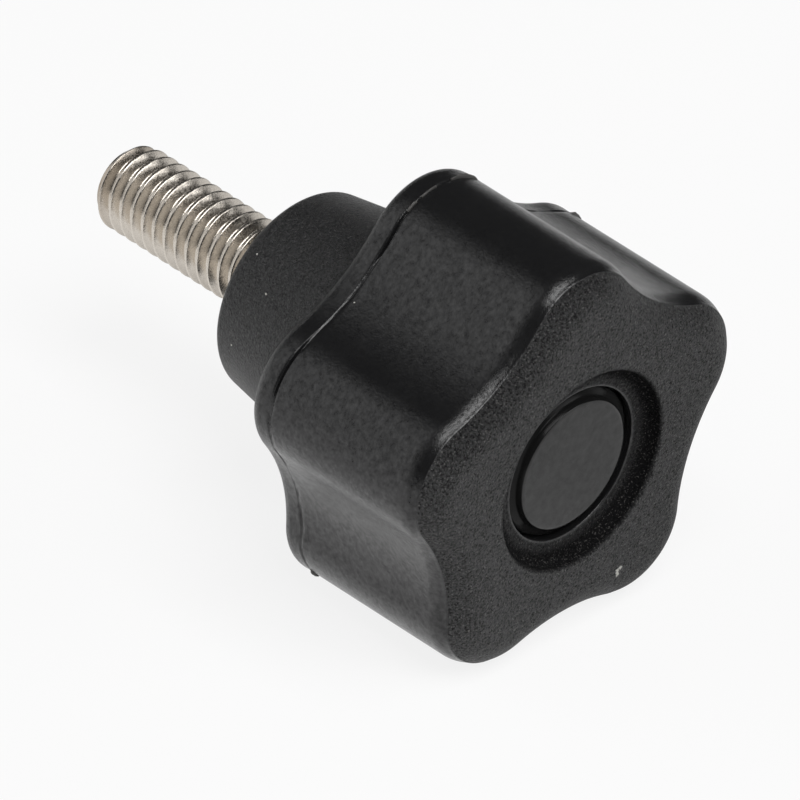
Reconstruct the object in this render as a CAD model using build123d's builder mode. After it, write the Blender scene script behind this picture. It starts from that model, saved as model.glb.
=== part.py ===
"""Five-lobe star knob with a stainless threaded stud, in millimetres.

The knob's axis lies along Y, the stud points to +Y and the grip's front faces -Y.
One lobe points up (+Z), so the knob lies on the two lobes below.
The origin is the centre of the hub's end face, where the stud leaves the moulding.
"""

from build123d import *
import math
import os

# Star: five round lobes joined by shallow hollow flutes.
lobe_count = 5
star_diameter = 28.8
star_thickness = 15.5
lobe_radius = 5.1
flute_radius = 13.6
star_draft = 0.4
front_round = 2.4
back_round = 1.0

# Hub: the conical neck behind the star, moulded in one with it, with a shallow relief round the stud.
hub_length = 10.25
hub_end_radius = 6.9
hub_draft = 8.8
hub_end_round = 0.8
hub_root_round = 0.6
stud_relief_gap = 0.15
stud_relief_depth = 0.3

# Recess in the front face: a short wall, a shallow dish, and the seat that the cap is pressed into.
recess_radius = 6.85
recess_depth = 0.85
recess_lip_round = 0.25
dish_depth = 0.2
cap_seat_radius = 5.3
cap_seat_depth = 0.9
core_hole_radius = 3.0

# Cap: a disc with a round shoulder, and a spigot that is a press fit in the core hole.
cap_side_gap = 0.1
cap_proud = 0.18
cap_shoulder_round = 0.6
spigot_length = 0.8
head_gap = 0.2

# Stud: M6 coarse thread at its real major diameter, with a hexagonal head moulded in.
thread_radius = 2.95
exposed_length = 15.5
tip_chamfer_radial = 0.62
tip_chamfer_axial = 0.7
shank_step = 0.25
head_across_flats = 11.0
head_height = 5.0

# Derived places along the axis, from the hub's end face towards the front, and radii.
star_front = hub_length + star_thickness
wall_foot = star_front - recess_depth
dish_foot = wall_foot - dish_depth
seat_floor = dish_foot - cap_seat_depth
head_top = seat_floor - spigot_length - head_gap
shank_end = head_top - head_height
hub_root_radius = hub_end_radius + hub_length * math.tan(math.radians(hub_draft))
shank_radius = thread_radius - shank_step


def polar(radius, angle):
    """Point of the axial plane at a radius, with the angle in degrees from +X towards +Z."""
    return (radius * math.cos(math.radians(angle)), radius * math.sin(math.radians(angle)))


def star_outline():
    """Closed outline of the star: each lobe's arc runs tangent into the flutes beside it."""
    half_step = 180 / lobe_count
    lobe_centre = star_diameter / 2 - lobe_radius
    across = lobe_centre * math.sin(math.radians(half_step))
    reach = math.sqrt((lobe_radius + flute_radius) ** 2 - across**2)
    flute_centre = lobe_centre * math.cos(math.radians(half_step)) + reach
    flute_bottom = flute_centre - flute_radius
    # The lobe and flute arcs meet on the line between their two centres.
    lean = half_step + math.degrees(math.asin(across / (lobe_radius + flute_radius)))
    meet_x = lobe_centre + lobe_radius * math.cos(math.radians(lean))
    meet_y = lobe_radius * math.sin(math.radians(lean))
    meet_radius = math.hypot(meet_x, meet_y)
    meet_angle = math.degrees(math.atan2(meet_y, meet_x))
    for lobe in range(lobe_count):
        tip = 90 + lobe * 2 * half_step
        ThreePointArc(
            polar(meet_radius, tip - meet_angle),
            polar(star_diameter / 2, tip),
            polar(meet_radius, tip + meet_angle),
        )
        ThreePointArc(
            polar(meet_radius, tip + meet_angle),
            polar(flute_bottom, tip + half_step),
            polar(meet_radius, tip + 2 * half_step - meet_angle),
        )


def is_ring(edge, radius):
    """Whether an edge is a full circle of this radius."""
    return edge.geom_type == GeomType.CIRCLE and edge.is_closed and abs(edge.radius - radius) < 0.001


# Stud: thread envelope, plain shank and hexagonal head, as one turned and rolled piece.
with BuildPart() as threaded_stud:
    with BuildSketch(Plane.XZ):
        Circle(thread_radius)
    extrude(amount=-exposed_length)
    tip_edge = threaded_stud.edges().sort_by(Axis.Y)[-1]
    chamfer(tip_edge, length=tip_chamfer_radial, length2=tip_chamfer_axial)
    with BuildSketch(Plane.XZ):
        Circle(shank_radius)
    extrude(amount=shank_end)
    with BuildSketch(Plane.XZ.offset(shank_end)):
        RegularPolygon(head_across_flats / 2, side_count=6, major_radius=False)
    extrude(amount=head_height)

# Cap: disc seated on the seat's floor, with its spigot in the core hole.
with BuildPart() as centre_cap:
    with BuildSketch(Plane.XZ.offset(seat_floor)):
        Circle(cap_seat_radius - cap_side_gap)
    extrude(amount=cap_seat_depth + cap_proud)
    shoulder = centre_cap.edges().sort_by(Axis.Y)[0]
    fillet(shoulder, cap_shoulder_round)
    with BuildSketch(Plane.XZ.offset(seat_floor)):
        Circle(core_hole_radius)
    extrude(amount=-spigot_length)

# Grip: star and hub in one moulding, closed round the stud's shank and head.
with BuildPart() as star_grip:
    with BuildSketch(Plane.XZ.offset(hub_length)):
        with BuildLine():
            star_outline()
        make_face()
    extrude(amount=star_thickness, taper=star_draft)
    fillet(star_grip.edges().group_by(Axis.Y)[0], front_round)
    fillet(star_grip.edges().group_by(Axis.Y)[-1], back_round)
    with BuildSketch(Plane.XZ.offset(hub_length)):
        Circle(hub_root_radius)
    extrude(amount=-hub_length, taper=hub_draft)
    hub_rings = star_grip.edges(Select.LAST).filter_by(GeomType.CIRCLE).sort_by(Axis.Y)
    fillet(hub_rings[-1], hub_end_round)
    root_ring = star_grip.edges().filter_by(lambda edge: is_ring(edge, hub_root_radius))
    fillet(root_ring, hub_root_round)
    with BuildSketch(Plane.XZ.offset(stud_relief_depth)):
        Circle(thread_radius + stud_relief_gap)
    extrude(amount=-stud_relief_depth, mode=Mode.SUBTRACT)
    with BuildSketch(Plane.XY):
        with BuildLine():
            Polyline(
                (0, -star_front),
                (recess_radius, -star_front),
                (recess_radius, -wall_foot),
                (cap_seat_radius, -dish_foot),
                (cap_seat_radius, -seat_floor),
                (core_hole_radius, -seat_floor),
                (core_hole_radius, -head_top),
                (0, -head_top),
                close=True,
            )
        make_face()
    revolve(axis=Axis.Y, mode=Mode.SUBTRACT)
    recess_rings = star_grip.edges(Select.LAST).sort_by(Axis.Y)
    fillet(recess_rings[0], recess_lip_round)
    add(threaded_stud.part, mode=Mode.SUBTRACT)

os.makedirs("parts", exist_ok=True)

threaded_stud.part.label = "threaded_stud"
export_step(threaded_stud.part, "parts/threaded_stud.step")

centre_cap.part.label = "centre_cap"
export_step(centre_cap.part, "parts/centre_cap.step")

star_grip.part.label = "star_grip"
export_step(star_grip.part, "parts/star_grip.step")
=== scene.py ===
"""Looks of a five-lobe star knob: moulded black grip, smooth centre cap and rolled steel stud.

Everything is in metres, in the part's own frame: the knob's axis is Y, the stud points to +Y,
the grip's front faces -Y, and the knob lies on its two lower lobes.
"""

import math
import random

import bmesh
import bpy
from mathutils import Matrix, Vector, noise


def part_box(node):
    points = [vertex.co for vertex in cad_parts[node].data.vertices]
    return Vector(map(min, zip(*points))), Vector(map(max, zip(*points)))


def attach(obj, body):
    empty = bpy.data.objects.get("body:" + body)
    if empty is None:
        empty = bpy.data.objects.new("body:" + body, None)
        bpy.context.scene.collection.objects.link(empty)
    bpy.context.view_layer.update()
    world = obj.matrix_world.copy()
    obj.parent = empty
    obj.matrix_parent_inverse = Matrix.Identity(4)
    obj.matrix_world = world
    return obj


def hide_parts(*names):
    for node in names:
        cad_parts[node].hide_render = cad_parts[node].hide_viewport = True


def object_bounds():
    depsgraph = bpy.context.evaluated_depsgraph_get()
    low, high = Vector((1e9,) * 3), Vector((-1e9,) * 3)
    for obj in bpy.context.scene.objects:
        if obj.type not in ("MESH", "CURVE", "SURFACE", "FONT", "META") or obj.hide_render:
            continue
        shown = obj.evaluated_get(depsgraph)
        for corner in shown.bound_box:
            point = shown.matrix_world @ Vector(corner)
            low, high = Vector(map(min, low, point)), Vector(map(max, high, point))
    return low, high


MM = 0.001

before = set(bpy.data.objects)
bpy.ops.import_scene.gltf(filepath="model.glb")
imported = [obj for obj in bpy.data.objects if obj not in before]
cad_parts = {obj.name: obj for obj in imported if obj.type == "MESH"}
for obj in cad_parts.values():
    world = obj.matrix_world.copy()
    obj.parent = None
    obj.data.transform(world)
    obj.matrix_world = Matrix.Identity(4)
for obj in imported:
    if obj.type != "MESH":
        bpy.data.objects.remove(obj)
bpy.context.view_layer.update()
random.seed(7)
scene = bpy.context.scene

grip_low, grip_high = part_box("star_grip")
stud_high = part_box("threaded_stud")[1]
cap_low, cap_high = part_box("centre_cap")

# Sizes of the grip, as in the part. The star is a hair smaller, so that flash stays inside its box.
LOBES = 5
FLASH_ROOM = 0.03 * MM
STAR_RADIUS = grip_high.z - FLASH_ROOM
LOBE_RADIUS = 5.1 * MM
FLUTE_RADIUS = 13.6 * MM
STAR_DRAFT = math.radians(0.4)
FRONT_ROUND = 2.4 * MM
BACK_ROUND = 1.0 * MM
HUB_LENGTH = 10.25 * MM
HUB_END_RADIUS = 6.9 * MM
HUB_DRAFT = math.radians(8.8)
HUB_END_ROUND = 0.8 * MM
HUB_ROOT_ROUND = 0.6 * MM
RECESS_RADIUS = 6.85 * MM
RECESS_LIP_ROUND = 0.25 * MM
DISH_FOOT = 1.05 * MM
SEAT_RADIUS = 5.3 * MM
SEAT_DEPTH = 0.9 * MM
CORE_HOLE_RADIUS = 3.0 * MM
CORE_HOLE_DEPTH = 0.95 * MM
RELIEF_RADIUS = 3.1 * MM
RELIEF_DEPTH = 0.3 * MM
FRONT_Y = grip_low.y

# Round on small edges, and how grainy the hub is, where the face is 1.
EDGE = 0.05 * MM
HUB_GRAIN = 0.6

# Hollow between the recess's wall and its dish, as depths below the face, and how much painted
# shade dims the dish's shine from there inwards.
WALL_END = 0.45 * MM
HOLLOW_DEPTH = 0.95 * MM
HOLLOW_END_RADIUS = 6.35 * MM
DISH_PAINTED_SHADE = (0.9, 0.6, 0.45, 0.45)

# The front round turns from polished to grainy at a low ridge. Its width is in radians.
FINISH_ANGLE = math.radians(32)
FINISH_RIDGE = 0.04 * MM
RIDGE_WIDTH = 0.05

# Parting line round the star's side, with two cracked stretches between angles in degrees.
PARTING_Y = -12.2 * MM
PARTING_REACH = 0.13 * MM
PARTING_BAND = 0.16 * MM
PARTING_STEP = 0.02 * MM
PARTING_DEPTH = 0.10 * MM
PARTING_WANDER = 0.05 * MM
CRACKS = ((101, 119), (141, 166))
CRACK_DEPTH = 0.22 * MM

# Sizes of the cap: its flat disc, and its thickness without the spigot.
DISC_RADIUS = 4.42 * MM
CAP_THICKNESS = 1.08 * MM

# Sizes of the stud. Half of the crest's and of the root's width are shares of the pitch.
PITCH = 1.0 * MM
THREAD_RADIUS = 2.95 * MM
THREAD_DEPTH = 0.58 * MM
CREST_HALF = 0.04
ROOT_HALF = 0.12
TIP_Y = stud_high.y
TIP_CHAMFER_RADIAL = 0.62 * MM
TIP_CHAMFER_AXIAL = 0.7 * MM

# The thread starts so that a crest passes this place along the axis at this angle.
CREST_Y = 2.85 * MM
CREST_ANGLE = math.radians(135.9)

# Stage: how much of the floor's look is plain white, the dark studio's level and its panel's.
WHITE_SHARE = 0.85
STUDIO_LEVEL = 0.05
PANEL_LEVEL = 0.95


# ---------------------------------------------------------------- outline and rings


def lobe_and_flute():
    """Centre distance of lobes and flutes, and half the angle that a lobe's arc spans."""
    half_step = math.pi / LOBES
    lobe_centre = STAR_RADIUS - LOBE_RADIUS
    across = lobe_centre * math.sin(half_step)
    reach = math.sqrt((LOBE_RADIUS + FLUTE_RADIUS) ** 2 - across**2)
    flute_centre = lobe_centre * math.cos(half_step) + reach
    lean = half_step + math.asin(across / (LOBE_RADIUS + FLUTE_RADIUS))
    return lobe_centre, flute_centre, lean


def star_outline(lobe_points=44, flute_points=30):
    """Points round the star with their outward normals, as (x, z, normal x, normal z)."""
    lobe_centre, flute_centre, lean = lobe_and_flute()
    half_step = math.pi / LOBES
    flute_half = lean - half_step
    outline = []
    for lobe in range(LOBES):
        tip = math.pi / 2 + lobe * 2 * half_step
        for k in range(lobe_points):
            a = tip + lean * (2 * k / lobe_points - 1)
            x = lobe_centre * math.cos(tip) + LOBE_RADIUS * math.cos(a)
            z = lobe_centre * math.sin(tip) + LOBE_RADIUS * math.sin(a)
            outline.append((x, z, math.cos(a), math.sin(a)))
        valley = tip + half_step
        for k in range(flute_points):
            a = valley + math.pi + flute_half * (1 - 2 * k / flute_points)
            x = flute_centre * math.cos(valley) + FLUTE_RADIUS * math.cos(a)
            z = flute_centre * math.sin(valley) + FLUTE_RADIUS * math.sin(a)
            outline.append((x, z, -math.cos(a), -math.sin(a)))
    return outline


OUTLINE = star_outline()


def star_ring(y, inset, relief=None):
    """Ring on the star's outline, moved inwards by inset and, where it is given, by relief."""
    ring = []
    for x, z, nx, nz in OUTLINE:
        depth = inset
        if relief is not None:
            depth += relief(x, y, z)
        ring.append(Vector((x - nx * depth, y, z - nz * depth)))
    return ring


def parting_line(x, y, z):
    """How far the side sinks at the mould's parting line: a broken, uneven groove."""
    place = Vector((x, 0, z)) / MM
    wander = PARTING_WANDER * noise.noise(place * 0.45)
    from_line = abs(y - PARTING_Y - wander)
    if from_line > PARTING_REACH:
        return 0
    strength = 0.50 + 0.9 * noise.noise(place * 0.8 + Vector((5, 0, 0)))
    strength += 0.5 * noise.noise(place * 4.0)
    depth = PARTING_DEPTH * min(1.0, max(0.12, strength))
    # On two stretches the line has opened into a crack.
    angle = math.degrees(math.atan2(z, x))
    for low, high in CRACKS:
        if low < angle < high:
            depth += CRACK_DEPTH * math.sin(math.pi * (angle - low) / (high - low))
    return depth * (1 - (from_line / PARTING_REACH) ** 2)


def round_ring(y, radius):
    """Circle with its points at the same angles as the star's outline."""
    ring = []
    for x, z, _, _ in OUTLINE:
        a = math.atan2(z, x)
        ring.append(Vector((radius * math.cos(a), y, radius * math.sin(a))))
    return ring


def between(first, last, count):
    """Rings spread evenly between two rings, without the two themselves."""
    return [
        [p.lerp(q, k / (count + 1)) for p, q in zip(first, last)] for k in range(1, count + 1)
    ]


def spread(low, high, count):
    """Values from low to high in count equal steps, with both ends."""
    return [low + (high - low) * k / count for k in range(count + 1)]


def hub_rings():
    """Rings from the relief round the stud, over the hub's end and cone, to the star's back."""
    rings = [
        (round_ring(-RELIEF_DEPTH, 2.0 * MM), 1, 0),
        (round_ring(-RELIEF_DEPTH, RELIEF_RADIUS - EDGE), 1, 0),
        (round_ring(-RELIEF_DEPTH + EDGE, RELIEF_RADIUS), 1, 0),
        (round_ring(-EDGE, RELIEF_RADIUS), 1, 0),
        (round_ring(0, RELIEF_RADIUS + EDGE), 1, 0),
    ]
    slope = math.tan(HUB_DRAFT)
    round_centre = HUB_END_RADIUS + HUB_END_ROUND * slope - HUB_END_ROUND / math.cos(HUB_DRAFT)
    for r in spread(RELIEF_RADIUS + 0.4 * MM, round_centre - 0.2 * MM, 5):
        rings.append((round_ring(0, r), HUB_GRAIN, 0))
    for a in spread(math.pi / 2, HUB_DRAFT, 9):
        y = -HUB_END_ROUND + HUB_END_ROUND * math.sin(a)
        rings.append((round_ring(y, round_centre + HUB_END_ROUND * math.cos(a)), HUB_GRAIN, 0))
    root_y = -HUB_LENGTH + HUB_ROOT_ROUND
    root_centre = HUB_END_RADIUS - root_y * slope + HUB_ROOT_ROUND / math.cos(HUB_DRAFT)
    cone_end = round_ring(
        root_y - HUB_ROOT_ROUND * math.sin(HUB_DRAFT),
        root_centre - HUB_ROOT_ROUND * math.cos(HUB_DRAFT),
    )
    rings += [(ring, HUB_GRAIN, 0) for ring in between(rings[-1][0], cone_end, 24)]
    for a in spread(HUB_DRAFT, math.pi / 2, 6):
        y = root_y - HUB_ROOT_ROUND * math.sin(a)
        rings.append((round_ring(y, root_centre - HUB_ROOT_ROUND * math.cos(a)), HUB_GRAIN, 0))
    return rings


def star_rings(hub_root):
    """Rings from the hub's root over the star's back, side, front round and face."""
    back_edge = star_ring(-HUB_LENGTH, BACK_ROUND)
    rings = [(ring, 1, 0) for ring in between(hub_root, back_edge, 8)]
    for a in spread(0, math.pi / 2, 9):
        y = -HUB_LENGTH - BACK_ROUND * (1 - math.cos(a))
        rings.append((star_ring(y, BACK_ROUND * (1 - math.sin(a))), 1 - a / (math.pi / 2), 0))
    side_start = -HUB_LENGTH - BACK_ROUND
    side_end = FRONT_Y + FRONT_ROUND
    side_places = spread(side_start, side_end, 56)[1:]
    # The rings lie closer together across the parting line.
    side_places = [y for y in side_places if abs(y - PARTING_Y) > PARTING_BAND]
    side_places += [PARTING_Y + k * PARTING_STEP for k in range(-7, 8)]
    for y in sorted(side_places, reverse=True):
        inset = (-HUB_LENGTH - y) * math.tan(STAR_DRAFT)
        rings.append((star_ring(y, inset, parting_line), 0, 0))
    front_inset = (-HUB_LENGTH - side_end) * math.tan(STAR_DRAFT)
    for a in spread(0, math.pi / 2, 45)[1:]:
        ridge = FINISH_RIDGE * math.exp(-(((a - FINISH_ANGLE) / RIDGE_WIDTH) ** 2))
        y = side_end - FRONT_ROUND * math.sin(a) - ridge * math.sin(a)
        inset = front_inset + FRONT_ROUND * (1 - math.cos(a)) - ridge * math.cos(a)
        rings.append((star_ring(y, inset), 1 if a > FINISH_ANGLE else 0, 0))
    lip = round_ring(FRONT_Y, RECESS_RADIUS + RECESS_LIP_ROUND)
    rings += [(ring, 1, 0) for ring in between(rings[-1][0], lip, 12)]
    return rings


def recess_rings():
    """Rings from the recess's lip, down its wall and over its dish, into the core hole."""
    rings = []
    lip = RECESS_RADIUS + RECESS_LIP_ROUND
    # Painted shade dims the shine more and more across the lip's round.
    for a in spread(0, math.pi / 2, 6):
        y = FRONT_Y + RECESS_LIP_ROUND * (1 - math.cos(a))
        rings.append((round_ring(y, lip - RECESS_LIP_ROUND * math.sin(a)), 1, a / (math.pi / 2)))
    # A hollow round turns the wall into the dish, which falls gently to the cap's seat.
    wall_end = Vector((RECESS_RADIUS, WALL_END))
    corner = Vector((RECESS_RADIUS, HOLLOW_DEPTH))
    hollow_end = Vector((HOLLOW_END_RADIUS, HOLLOW_DEPTH))
    # The wall and the hollow carry full painted shade.
    for s in spread(0, 1, 8):
        r, depth = wall_end * (1 - s) ** 2 + corner * 2 * s * (1 - s) + hollow_end * s**2
        rings.append((round_ring(FRONT_Y + depth, r), 1, 1))
    dish_y = FRONT_Y + DISH_FOOT
    rim_radius = SEAT_RADIUS + 2 * EDGE
    # The dish carries painted shade too, less of it towards the cap's seat.
    dish = between(rings[-1][0], round_ring(dish_y, rim_radius), len(DISH_PAINTED_SHADE))
    rings += [(ring, 1, painted_shade) for ring, painted_shade in zip(dish, DISH_PAINTED_SHADE)]
    for a in spread(0, math.pi / 2, 4):
        y = dish_y + 2 * EDGE * (1 - math.cos(a))
        rings.append((round_ring(y, SEAT_RADIUS + 2 * EDGE * (1 - math.sin(a))), 0, 0))
    floor_y = dish_y + SEAT_DEPTH
    rings.append((round_ring(floor_y - EDGE, SEAT_RADIUS), 0, 0))
    rings.append((round_ring(floor_y, SEAT_RADIUS - EDGE), 1, 0))
    rings.append((round_ring(floor_y, CORE_HOLE_RADIUS + EDGE), 1, 0))
    rings.append((round_ring(floor_y + EDGE, CORE_HOLE_RADIUS), 1, 0))
    rings.append((round_ring(floor_y + CORE_HOLE_DEPTH, CORE_HOLE_RADIUS), 1, 0))
    return rings


def grip_rings():
    """All the grip's rings, each with how grainy it is and how much painted shade dims its shine,
    from 0 to 1.
    """
    rings = hub_rings()
    rings += star_rings(rings[-1][0])
    rings += recess_rings()
    return rings


def new_piece(name, mesh):
    """Object for a mesh, in the scene."""
    piece = bpy.data.objects.new(name, mesh)
    scene.collection.objects.link(piece)
    return piece


def skin(name, rings, point_layers):
    """Closed mesh over a list of rings; each point layer, such as grain or painted shade, is kept
    as a point attribute by its name.
    """
    count = len(rings[0])
    verts = [p for ring in rings for p in ring]
    faces = []
    for k in range(len(rings) - 1):
        for j in range(count):
            n = (j + 1) % count
            faces.append((k * count + j, k * count + n, (k + 1) * count + n, (k + 1) * count + j))
    faces.append(tuple(reversed(range(count))))
    last = (len(rings) - 1) * count
    faces.append(tuple(range(last, last + count)))
    mesh = bpy.data.meshes.new(name)
    mesh.from_pydata(verts, [], faces)
    for layer_name, amounts in point_layers.items():
        layer = mesh.attributes.new(layer_name, "FLOAT", "POINT")
        layer.data.foreach_set("value", [amount for amount in amounts for _ in range(count)])
    mesh.polygons.foreach_set("use_smooth", [True] * len(mesh.polygons))
    return new_piece(name, mesh)


def outward(piece):
    """Turn every face of a closed mesh outwards."""
    bm = bmesh.new()
    bm.from_mesh(piece.data)
    bmesh.ops.recalc_face_normals(bm, faces=bm.faces)
    bm.to_mesh(piece.data)
    bm.free()


# ---------------------------------------------------------------- materials


def new_material(name):
    """Node material, its node tree and its Principled shader."""
    mat = bpy.data.materials.new(name)
    mat.use_nodes = True
    return mat, mat.node_tree, mat.node_tree.nodes["Principled BSDF"]


def add_noise(tree, coords, scale, detail, rough=0.5):
    node = tree.nodes.new("ShaderNodeTexNoise")
    node.inputs["Scale"].default_value = scale
    node.inputs["Detail"].default_value = detail
    node.inputs["Roughness"].default_value = rough
    tree.links.new(coords, node.inputs["Vector"])
    return node.outputs["Fac"]


def ramp(tree, value, low, high, out_low, out_high):
    node = tree.nodes.new("ShaderNodeMapRange")
    node.inputs["From Min"].default_value = low
    node.inputs["From Max"].default_value = high
    node.inputs["To Min"].default_value = out_low
    node.inputs["To Max"].default_value = out_high
    tree.links.new(value, node.inputs["Value"])
    return node.outputs["Result"]


def maths(tree, kind, first, second):
    node = tree.nodes.new("ShaderNodeMath")
    node.operation = kind
    for socket, value in zip(node.inputs, (first, second)):
        if isinstance(value, (int, float)):
            socket.default_value = value
        else:
            tree.links.new(value, socket)
    return node.outputs["Value"]


def mix_values(tree, factor, first, second):
    node = tree.nodes.new("ShaderNodeMix")
    for name, value in (("Factor", factor), ("A", first), ("B", second)):
        tree.links.new(value, node.inputs[name])
    return node.outputs["Result"]


def mix_colours(tree, factor, first, second):
    node = tree.nodes.new("ShaderNodeMix")
    node.data_type = "RGBA"
    tree.links.new(factor, node.inputs["Factor"])
    for socket, value in ((node.inputs["A"], first), (node.inputs["B"], second)):
        if isinstance(value, tuple):
            socket.default_value = value
        else:
            tree.links.new(value, socket)
    return node.outputs["Result"]


def bump(tree, height, distance, strength, normal=None):
    """Normal from a height; the strength is a number or a socket."""
    node = tree.nodes.new("ShaderNodeBump")
    node.inputs["Distance"].default_value = distance
    if isinstance(strength, (int, float)):
        node.inputs["Strength"].default_value = strength
    else:
        tree.links.new(strength, node.inputs["Strength"])
    tree.links.new(height, node.inputs["Height"])
    if normal is not None:
        tree.links.new(normal, node.inputs["Normal"])
    return node.outputs["Normal"]


def attribute(tree, name):
    node = tree.nodes.new("ShaderNodeAttribute")
    node.attribute_name = name
    return node.outputs["Fac"]


def object_coords(tree):
    return tree.nodes.new("ShaderNodeTexCoord").outputs["Object"]


def nick_mask(tree, coords, broken):
    """Pale hooked nick, about 0.7 mm long, near the face's lower edge."""
    nearest = 1.0
    for x, z in ((3.87, -9.70), (3.81, -9.53), (3.84, -9.37), (4.10, -9.28)):
        away = tree.nodes.new("ShaderNodeVectorMath")
        away.operation = "DISTANCE"
        away.inputs[1].default_value = (x * MM, FRONT_Y, z * MM)
        tree.links.new(coords, away.inputs[0])
        nearest = maths(tree, "MINIMUM", away.outputs["Value"], nearest)
    uneven = maths(tree, "MULTIPLY", ramp(tree, broken, 0.3, 0.7, 0.7, 1.3), nearest)
    return ramp(tree, uneven, 0.08 * MM, 0.17 * MM, 1, 0)


def grip_material():
    """Glass-filled black plastic: sandy grain on face and hub, smoother sheen on the sides."""
    mat, tree, shader = new_material("grip_plastic")
    coords = object_coords(tree)
    mask = attribute(tree, "grain")
    sand = add_noise(tree, coords, 5800, 3, 0.7)
    fine = add_noise(tree, coords, 9000, 1, 0.5)
    cloud = add_noise(tree, coords, 420, 4, 0.6)
    broad = add_noise(tree, coords, 130, 3, 0.5)
    tone = mix_colours(tree, broad, (0.0075, 0.0075, 0.008, 1), (0.011, 0.011, 0.0115, 1))
    specks = ramp(tree, fine, 0.60, 0.72, 0, 1)
    speckled = maths(tree, "MULTIPLY", specks, mask)
    tone = mix_colours(tree, speckled, tone, (0.105, 0.102, 0.099, 1))
    tone = mix_colours(tree, nick_mask(tree, coords, fine), tone, (0.62, 0.61, 0.57, 1))
    tree.links.new(tone, shader.inputs["Base Color"])
    side_rough = ramp(tree, cloud, 0.3, 0.7, 0.17, 0.27)
    face_rough = ramp(tree, sand, 0.3, 0.7, 0.38, 0.58)
    tree.links.new(mix_values(tree, mask, side_rough, face_rough), shader.inputs["Roughness"])
    grain_strength = ramp(tree, mask, 0, 1, 0.12, 1.0)
    normal = bump(tree, sand, 0.34 * MM, grain_strength)
    normal = bump(tree, cloud, 0.10 * MM, 0.10, normal)
    tree.links.new(normal, shader.inputs["Normal"])
    shader.inputs["IOR"].default_value = 1.46
    streaks = add_noise(tree, coords, 2600, 4, 0.7)
    side_shine = ramp(tree, streaks, 0.3, 0.7, 0.24, 0.84)
    face_shine = ramp(tree, sand, 0.36, 0.64, 0.06, 1.06)
    shine = mix_values(tree, mask, side_shine, face_shine)
    # Painted shade: the shine is dimmed, down to 6%, where the mesh marks the recess's lip, wall,
    # hollow and dish.
    kept = ramp(tree, attribute(tree, "painted_shade"), 0, 1, 1.0, 0.06)
    tree.links.new(maths(tree, "MULTIPLY", shine, kept), shader.inputs["Specular IOR Level"])
    return mat


def torn_material():
    """Torn edge of the same plastic: paler and rough."""
    mat, tree, shader = new_material("torn_plastic")
    mottle = add_noise(tree, object_coords(tree), 4000, 3, 0.6)
    tone = mix_colours(tree, mottle, (0.02, 0.02, 0.02, 1), (0.10, 0.095, 0.09, 1))
    tree.links.new(tone, shader.inputs["Base Color"])
    tree.links.new(ramp(tree, mottle, 0.3, 0.7, 0.35, 0.65), shader.inputs["Roughness"])
    return mat


def dust_material():
    """Pale, matt dust."""
    mat, tree, shader = new_material("dust")
    mottle = add_noise(tree, object_coords(tree), 6000, 2, 0.5)
    tone = mix_colours(tree, mottle, (0.30, 0.29, 0.27, 1), (0.85, 0.83, 0.78, 1))
    tree.links.new(tone, shader.inputs["Base Color"])
    shader.inputs["Roughness"].default_value = 0.9
    return mat


def cap_material():
    """Smooth satin black plastic with a faint cloudiness."""
    mat, tree, shader = new_material("cap_plastic")
    coords = object_coords(tree)
    cloud = add_noise(tree, coords, 600, 3, 0.5)
    fine = add_noise(tree, coords, 3000, 2, 0.5)
    tone = mix_colours(tree, cloud, (0.009, 0.009, 0.009, 1), (0.012, 0.012, 0.012, 1))
    tree.links.new(tone, shader.inputs["Base Color"])
    tree.links.new(ramp(tree, cloud, 0.3, 0.7, 0.14, 0.24), shader.inputs["Roughness"])
    mottle = add_noise(tree, coords, 1800, 4, 0.7)
    sheen = ramp(tree, mottle, 0.3, 0.7, 0.34, 0.54)
    # Painted shade: the shine of the shoulder, rim and spigot is dimmed to a fifth.
    kept = ramp(tree, attribute(tree, "painted_shade"), 0, 1, 1.0, 0.2)
    tree.links.new(maths(tree, "MULTIPLY", sheen, kept), shader.inputs["Specular IOR Level"])
    tree.links.new(bump(tree, fine, 0.01 * MM, 0.3), shader.inputs["Normal"])
    return mat


def steel_material():
    """Rolled stainless: warm grey, fine scuffs, and a brown tint towards the tip."""
    mat, tree, shader = new_material("stud_steel")
    coords = object_coords(tree)
    split = tree.nodes.new("ShaderNodeSeparateXYZ")
    tree.links.new(coords, split.inputs["Vector"])
    along = split.outputs["Y"]
    patch = add_noise(tree, coords, 700, 4, 0.6)
    fine = add_noise(tree, coords, 4200, 3, 0.6)
    tone = mix_colours(tree, patch, (0.60, 0.55, 0.49, 1), (0.74, 0.69, 0.62, 1))
    tip = ramp(tree, along, TIP_Y - 1.6 * MM, TIP_Y - 0.2 * MM, 0, 0.6)
    tone = mix_colours(tree, tip, tone, (0.30, 0.24, 0.18, 1))
    tree.links.new(tone, shader.inputs["Base Color"])
    tree.links.new(ramp(tree, fine, 0.3, 0.7, 0.18, 0.34), shader.inputs["Roughness"])
    normal = bump(tree, fine, 0.035 * MM, 0.3)
    tree.links.new(normal, shader.inputs["Normal"])
    shader.inputs["Metallic"].default_value = 1.0
    return mat


# ---------------------------------------------------------------- pieces


def build_grip():
    """Grip and hub, as one skin."""
    rings = grip_rings()
    point_layers = {"grain": [grain for _, grain, _ in rings], "painted_shade": [painted_shade for _, _, painted_shade in rings]}
    piece = skin("moulded_grip", [ring for ring, _, _ in rings], point_layers)
    outward(piece)
    piece.data.materials.append(grip_material())
    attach(piece, "root")
    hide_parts("star_grip")


def thread_profile(phase):
    """Depth below the crest, 0 to 1, of a rolled 60 degree thread at a phase of 0 to 1 pitch."""
    from_crest = abs(phase - round(phase))
    t = (from_crest - CREST_HALF) / (0.5 - CREST_HALF - ROOT_HALF)
    t = min(1.0, max(0.0, t))
    return t * (1.2 - 0.2 * t)


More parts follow.
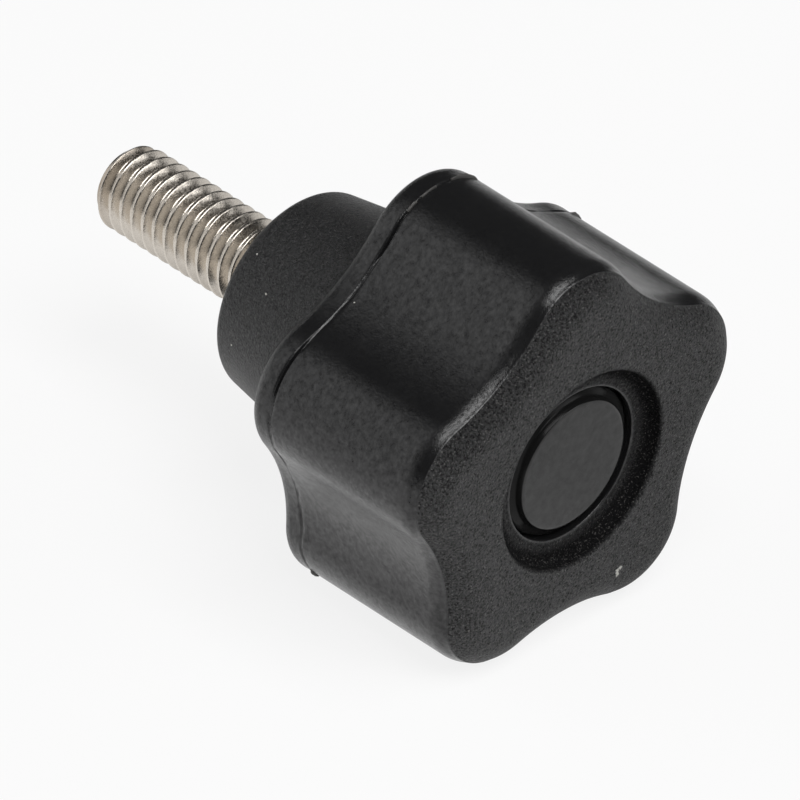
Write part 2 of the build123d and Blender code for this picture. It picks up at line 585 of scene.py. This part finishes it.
def build_stud():
    """Helical strip: each point's place along the axis follows the helix, so crests run smooth."""
    around = 120
    steps = 28
    start_y = -RELIEF_DEPTH + 0.02 * MM
    end_radius = THREAD_RADIUS - TIP_CHAMFER_RADIAL
    turns = math.ceil((TIP_Y - start_y) / PITCH) + 3
    rows = turns * steps
    lead_y = start_y - 1.5 * PITCH
    verts = []
    for k in range(rows + 1):
        for j in range(around):
            y = lead_y + PITCH * (k / steps + j / around)
            # A right-hand thread turns from +Z towards +X as it advances along +Y.
            turn = 2 * math.pi * j / around
            angle = math.pi / 2 - turn
            phase = (y - CREST_Y) / PITCH - (CREST_ANGLE - angle) / (2 * math.pi)
            radius = THREAD_RADIUS - THREAD_DEPTH * thread_profile(phase)
            cone = end_radius + (TIP_Y - y) * (THREAD_RADIUS - end_radius) / TIP_CHAMFER_AXIAL
            radius = min(radius, max(cone, 0.5 * MM))
            verts.append((radius * math.cos(angle), y, radius * math.sin(angle)))
    faces = []
    for k in range(rows):
        for j in range(around - 1):
            a = k * around + j
            faces.append((a, a + 1, a + around + 1, a + around))
        if k + steps + 1 <= rows:
            a = k * around + around - 1
            b = (k + steps) * around
            faces.append((a, b, b + around, a + around))
    mesh = bpy.data.meshes.new("rolled_stud")
    mesh.from_pydata(verts, [], faces)
    bm = bmesh.new()
    bm.from_mesh(mesh)
    for y, direction in ((start_y, -1), (TIP_Y, 1)):
        geometry = bm.verts[:] + bm.edges[:] + bm.faces[:]
        cut = bmesh.ops.bisect_plane(
            bm, geom=geometry, plane_co=(0, y, 0), plane_no=(0, direction, 0), clear_outer=True
        )
        rim = [e for e in cut["geom_cut"] if isinstance(e, bmesh.types.BMEdge)]
        bmesh.ops.holes_fill(bm, edges=rim, sides=0)
    bmesh.ops.recalc_face_normals(bm, faces=bm.faces)
    bm.to_mesh(mesh)
    bm.free()
    mesh.polygons.foreach_set("use_smooth", [len(p.vertices) < 6 for p in mesh.polygons])
    piece = new_piece("rolled_stud", mesh)
    piece.data.materials.append(steel_material())
    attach(piece, "root")
    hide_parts("threaded_stud")


def build_flash():
    """Thin torn fins that the mould left standing on the parting line.

    Each fin runs between two angles in degrees, and has a height in millimetres.
    Its section is a closed ring of points.
    """
    around = 5
    tips = ((76, 87, 0.32), (91, 97, 0.12), (98, 102, 0.20), (24, 30, 0.26), (228, 233, 0.22))
    verts = []
    faces = []
    for low, high, tallest in tips:
        along = []
        for x, z, nx, nz in OUTLINE:
            angle = math.degrees(math.atan2(z, x)) % 360
            if low < angle < high:
                along.append((x, z, nx, nz, (angle - low) / (high - low)))
        along.sort(key=lambda point: point[4])
        first = len(verts)
        for x, z, nx, nz, share in along:
            ragged = 0.65 + 0.35 * random.random()
            height = tallest * MM * ragged * math.sin(math.pi * min(0.98, max(0.02, share)))
            lean = 0.10 * MM * (random.random() - 0.3)
            section = (
                (-0.15 * MM, -0.07 * MM),
                (height * 0.5, -0.05 * MM),
                (height, lean),
                (height * 0.4, 0.07 * MM),
                (-0.15 * MM, 0.09 * MM),
            )
            for offset, y in section:
                verts.append((x + nx * offset, PARTING_Y + y, z + nz * offset))
        last = first + (len(along) - 1) * around
        for a in range(first, last, around):
            for j in range(around):
                n = (j + 1) % around
                faces.append((a + j, a + n, a + around + n, a + around + j))
        faces.append(tuple(range(first, first + around)))
        faces.append(tuple(reversed(range(last, last + around))))
    mesh = bpy.data.meshes.new("mould_flash")
    mesh.from_pydata(verts, [], faces)
    piece = new_piece("mould_flash", mesh)
    outward(piece)
    piece.data.materials.append(torn_material())
    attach(piece, "root")


def build_dust():
    """A few pale specks of dust, at a place along the axis, an angle and a radius."""
    hub_slope = math.tan(HUB_DRAFT)
    specks = []
    for y, angle, size in ((-1.3, 131, 0.08), (-3.7, 145, 0.09), (-2.0, 180, 0.06)):
        specks.append((y * MM, angle, HUB_END_RADIUS - y * MM * hub_slope, size * MM))
    specks.append((-12.7 * MM, 129.7, 11.83 * MM, 0.06 * MM))
    bm = bmesh.new()
    for y, angle, radius, size in specks:
        a = math.radians(angle)
        place = Matrix.Translation((radius * math.cos(a), y, radius * math.sin(a)))
        lump = bmesh.ops.create_icosphere(bm, subdivisions=2, radius=size, matrix=place)
        for vert in lump["verts"]:
            centre = place.translation
            vert.co = centre + (vert.co - centre) * (0.6 + 0.5 * random.random())
    mesh = bpy.data.meshes.new("dust_specks")
    bm.to_mesh(mesh)
    bm.free()
    piece = new_piece("dust_specks", mesh)
    piece.data.materials.append(dust_material())
    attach(piece, "root")


def build_cap():
    """Pressed-in cap: a flat disc with a crisp edge, a low shoulder darkened partly by its shape
    and partly by painted shade, and a spigot.
    """
    top = cap_low.y
    foot = cap_high.y
    under = top + CAP_THICKNESS
    radius = cap_high.x
    # Points as (radius, place along the axis): disc, its flank, the shoulder, the rim, the spigot.
    profile = [
        (EDGE, top),
        (2.0 * MM, top),
        (DISC_RADIUS - 0.2 * MM, top),
        (DISC_RADIUS, top + 0.01 * MM),
        (DISC_RADIUS + EDGE, top + EDGE),
        (DISC_RADIUS + 0.12 * MM, top + 0.40 * MM),
        (DISC_RADIUS + 0.22 * MM, top + 0.52 * MM),
        (radius - 0.15 * MM, top + 0.60 * MM),
        (radius, top + 0.72 * MM),
        (radius, under - EDGE),
        (radius - EDGE, under),
        (CORE_HOLE_RADIUS + EDGE, under),
        (CORE_HOLE_RADIUS, under + EDGE),
        (CORE_HOLE_RADIUS, foot - EDGE),
        (CORE_HOLE_RADIUS - EDGE, foot),
        (EDGE, foot),
    ]
    # Painted shade over the shoulder, rim and spigot; the flat disc keeps its full shine.
    painted_shade = [0 if r < DISC_RADIUS + 0.02 * MM else 1 for r, _ in profile]
    piece = skin("pressed_cap", [round_ring(y, r) for r, y in profile], {"painted_shade": painted_shade})
    outward(piece)
    piece.data.materials.append(cap_material())
    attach(piece, "root")
    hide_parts("centre_cap")


# ---------------------------------------------------------------- stage, light and camera


def build_floor():
    """Pale floor that reads white to the camera, and keeps the knob's shadow."""
    bpy.ops.mesh.primitive_plane_add(size=3, location=(0, 0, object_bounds()[0][2]))
    floor = bpy.context.object
    floor.name = "floor"
    mat, tree, shader = new_material("floor_paper")
    coords = object_coords(tree)
    soft = add_noise(tree, coords, 30, 2)
    tone = mix_colours(tree, soft, (0.86, 0.86, 0.86, 1), (0.90, 0.90, 0.90, 1))
    tree.links.new(tone, shader.inputs["Base Color"])
    shader.inputs["Roughness"].default_value = 0.8
    # The camera sees mostly plain white, with the shadow still on it.
    paper = tree.nodes.new("ShaderNodeEmission")
    paper.inputs["Color"].default_value = (1, 1, 1, 1)
    paper.inputs["Strength"].default_value = 1.0
    path = tree.nodes.new("ShaderNodeLightPath")
    glossy = path.outputs["Is Glossy Ray"]
    reflected = maths(tree, "ADD", glossy, path.outputs["Is Transmission Ray"])
    # Surfaces that face away from the stud's side see the darker studio instead.
    split = tree.nodes.new("ShaderNodeSeparateXYZ")
    tree.links.new(coords, split.inputs["Vector"])
    open_side = ramp(tree, split.outputs["X"], -5 * MM, 12 * MM, 1.0, 0.0)
    reflected = maths(tree, "MULTIPLY", reflected, open_side)
    seen = maths(tree, "ADD", path.outputs["Is Camera Ray"], reflected)
    share = maths(tree, "MULTIPLY", maths(tree, "MINIMUM", seen, 1.0), WHITE_SHARE)
    blend = tree.nodes.new("ShaderNodeMixShader")
    tree.links.new(share, blend.inputs["Fac"])
    tree.links.new(shader.outputs["BSDF"], blend.inputs[1])
    tree.links.new(paper.outputs["Emission"], blend.inputs[2])
    tree.links.new(blend.outputs["Shader"], tree.nodes["Material Output"].inputs["Surface"])
    floor.data.materials.append(mat)


def add_softbox(name, direction, distance, size, power):
    """Square lamp that looks at the knob from a direction."""
    lamp = bpy.data.lights.new(name, "AREA")
    lamp.shape = "SQUARE"
    lamp.size = size
    lamp.energy = power
    holder = bpy.data.objects.new(name, lamp)
    holder.location = Vector(direction).normalized() * distance
    holder.rotation_euler = (-holder.location).to_track_quat("-Z", "Y").to_euler()
    scene.collection.objects.link(holder)


def build_world():
    """Dark studio with one large pale panel, which fills the side behind the stud (-X and +Y)."""
    world = bpy.data.worlds.new("studio")
    scene.world = world
    world.use_nodes = True
    tree = world.node_tree
    direction = tree.nodes.new("ShaderNodeTexCoord").outputs["Generated"]
    split = tree.nodes.new("ShaderNodeSeparateXYZ")
    tree.links.new(direction, split.inputs["Vector"])
    left = ramp(tree, split.outputs["X"], -0.34, -0.15, 1.0, 0.0)
    behind = ramp(tree, split.outputs["Y"], 0.10, 0.50, 0.0, 1.0)
    panel = maths(tree, "MULTIPLY", left, behind)
    level = maths(tree, "ADD", maths(tree, "MULTIPLY", panel, PANEL_LEVEL), STUDIO_LEVEL)
    background = tree.nodes["Background"]
    background.inputs["Color"].default_value = (1, 1, 1, 1)
    tree.links.new(level, background.inputs["Strength"])


def build_camera():
    """Long lens, placed by azimuth and elevation about the knob, and rolled a little."""
    azimuth = math.radians(-46.555)
    elevation = math.radians(35.343)
    roll = math.radians(3.654)
    distance = 628.17 * MM
    aim_right = 6.745 * MM
    aim_down = 7.014 * MM
    back = Vector(
        (
            math.sin(azimuth) * math.cos(elevation),
            -math.cos(azimuth) * math.cos(elevation),
            math.sin(elevation),
        )
    )
    level = Vector((math.cos(azimuth), math.sin(azimuth), 0))
    upright = back.cross(level)
    right = math.cos(roll) * level + math.sin(roll) * upright
    up = math.cos(roll) * upright - math.sin(roll) * level
    data = bpy.data.cameras.new("camera")
    data.sensor_width = 36
    data.lens = 450
    data.clip_start = 0.01
    data.clip_end = 20
    camera = bpy.data.objects.new("camera", data)
    place = back * distance + right * aim_right - up * aim_down
    camera.matrix_world = Matrix(
        (
            (right.x, up.x, back.x, place.x),
            (right.y, up.y, back.y, place.y),
            (right.z, up.z, back.z, place.z),
            (0, 0, 0, 1),
        )
    )
    scene.collection.objects.link(camera)
    scene.camera = camera


build_camera()
build_world()
build_floor()
add_softbox("key", (-0.08, -0.40, 0.91), 1.5, 1.0, 18)
add_softbox("front_fill", (0.6, -1.0, 0.5), 1.5, 0.8, 5)
build_grip()
build_flash()
build_dust()
build_stud()
build_cap()

scene.view_settings.view_transform = "Standard"
